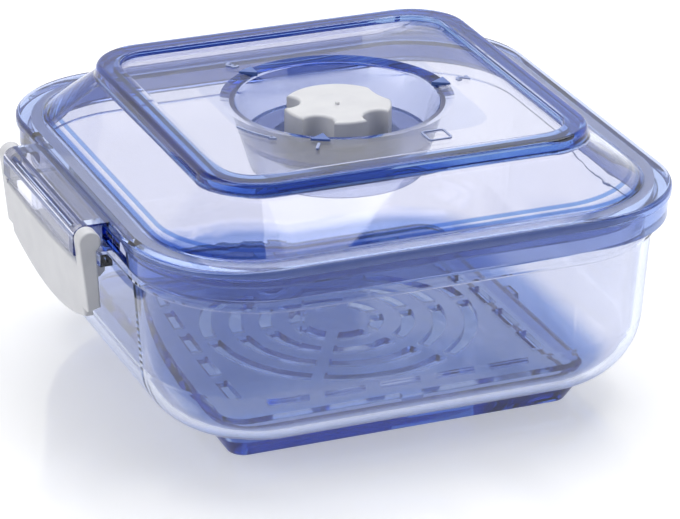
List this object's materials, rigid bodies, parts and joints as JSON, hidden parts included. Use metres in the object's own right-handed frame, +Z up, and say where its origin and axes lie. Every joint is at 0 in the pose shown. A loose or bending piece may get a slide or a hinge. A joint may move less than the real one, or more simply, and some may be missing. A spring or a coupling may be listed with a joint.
{
  "type": "vacuum seal food canister",
  "caption": "Clear square food canister with a rounded bottom and foot, a sloped lid held by a side latch, a rotary air valve in the lid and a drain grid inside.",
  "frame": {"origin": "middle of the foot's underside", "axes": "+Z up, +X to the right along the front; the latch is on the -X side"},
  "size_m": [0.213, 0.2, 0.1046],
  "materials": {
    "clear_blue_plastic": "gloss",
    "blue_plastic": "gloss",
    "white_plastic": "satin",
    "acetal": "satin",
    "silicone": "matte",
    "spring_steel": "satin"
  },
  "bodies": {
    "container": {"container": "clear_blue_plastic"},
    "drain_grid": {"drain_grid": "blue_plastic"},
    "lid": {"lid": "clear_blue_plastic", "lid_gasket": "silicone"},
    "latch": {"latch": "white_plastic"},
    "valve_rotor": {"valve_knob": "white_plastic", "valve_spindle": "acetal", "spindle_o_ring": "silicone", "thrust_washer": "acetal", "valve_spring": "spring_steel", "rotor_plate": "acetal", "rotor_seal": "silicone", "check_valve": "silicone", "spindle_screw": "spring_steel"}
  },
  "joints": [
    {"name": "grid_lift", "type": "slide", "parent": "container", "child": "drain_grid", "axis": [0, 0, 1], "range_m": [0, 0.055]},
    {"name": "lid_lift", "type": "slide", "parent": "container", "child": "lid", "axis": [0, 0, 1], "range_m": [0, 0.12]},
    {"name": "latch_hinge", "type": "hinge", "parent": "lid", "child": "latch", "pos_m": [-0.1088, 0, 0.0803], "axis": [0, 1, 0], "range_deg": [0, 110]},
    {"name": "valve_turn", "type": "hinge", "parent": "lid", "child": "valve_rotor", "pos_m": [0, 0, 0.0885], "axis": [0, 0, 1], "range_deg": [-143, 97]}
  ]
}
